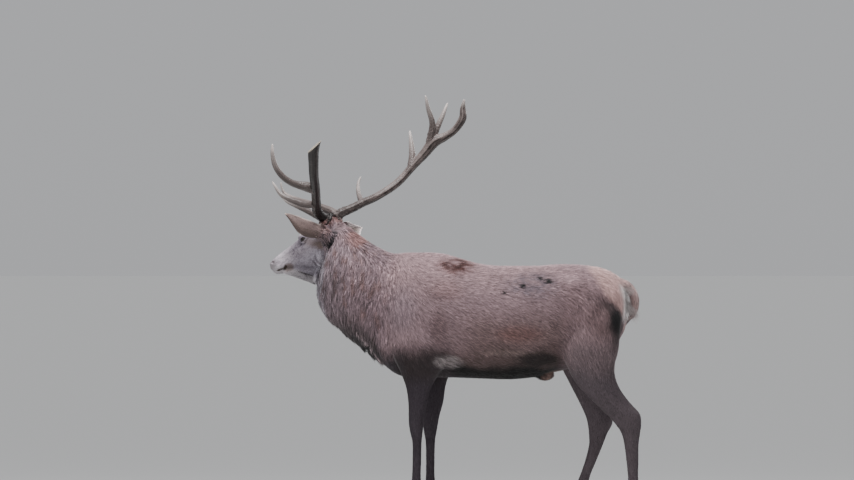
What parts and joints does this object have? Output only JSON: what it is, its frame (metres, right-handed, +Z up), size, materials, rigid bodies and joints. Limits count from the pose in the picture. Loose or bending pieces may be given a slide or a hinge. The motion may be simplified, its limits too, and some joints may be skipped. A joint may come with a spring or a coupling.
{
  "type": "red deer stag",
  "caption": "Life-size model of a standing red deer stag, head turned to its right, with maned neck, branched antlers and cloven hooves.",
  "frame": {"origin": "on the floor, under the middle of the box round the whole stag", "axes": "+Z up; the stag's body faces -X, its left side faces -Y"},
  "size_m": [1.742, 0.8986, 1.9724],
  "materials": {
    "brown_coat": "short brown hair",
    "mane_coat": "long rough hair",
    "face_coat": "very short grey hair",
    "leg_coat": "short dark hair",
    "antler": "grooved brown bone",
    "antler_tip": "polished pale bone",
    "eye": "wet gloss",
    "hoof": "satin horn"
  },
  "bodies": {
    "root": {"antler_left_beam": "antler", "antler_left_bez_tine": "antler_tip", "antler_left_brow_tine": "antler_tip", "antler_left_trez_tine": "antler_tip", "antler_left_upper_beam": "antler", "antler_right_beam": "antler", "antler_right_bez_tine": "antler_tip", "antler_right_brow_tine": "antler_tip", "antler_right_crown_tine_inner": "antler", "antler_right_crown_tine_middle": "antler", "antler_right_trez_tine": "antler_tip", "antler_right_upper_beam": "antler", "dewclaw_foreleg_left_inner": "hoof", "dewclaw_foreleg_left_outer": "hoof", "dewclaw_foreleg_right_inner": "hoof", "dewclaw_foreleg_right_outer": "hoof", "dewclaw_hindleg_left_inner": "hoof", "dewclaw_hindleg_left_outer": "hoof", "dewclaw_hindleg_right_inner": "hoof", "dewclaw_hindleg_right_outer": "hoof", "ear_left": "face_coat", "ear_right": "face_coat", "eye_left": "eye", "eye_right": "eye", "foreleg_left_cannon": "leg_coat", "foreleg_left_forearm": "leg_coat", "foreleg_right_cannon": "leg_coat", "foreleg_right_forearm": "leg_coat", "head": "face_coat", "hindleg_left_cannon": "leg_coat", "hindleg_left_gaskin": "leg_coat", "hindleg_right_cannon": "leg_coat", "hindleg_right_gaskin": "leg_coat", "hoof_foreleg_left_inner": "hoof", "hoof_foreleg_left_outer": "hoof", "hoof_foreleg_right_inner": "hoof", "hoof_foreleg_right_outer": "hoof", "hoof_hindleg_left_inner": "hoof", "hoof_hindleg_left_outer": "hoof", "hoof_hindleg_right_inner": "hoof", "hoof_hindleg_right_outer": "hoof", "neck": "mane_coat", "tail": "brown_coat", "trunk": "brown_coat"}
  },
  "joints": []
}
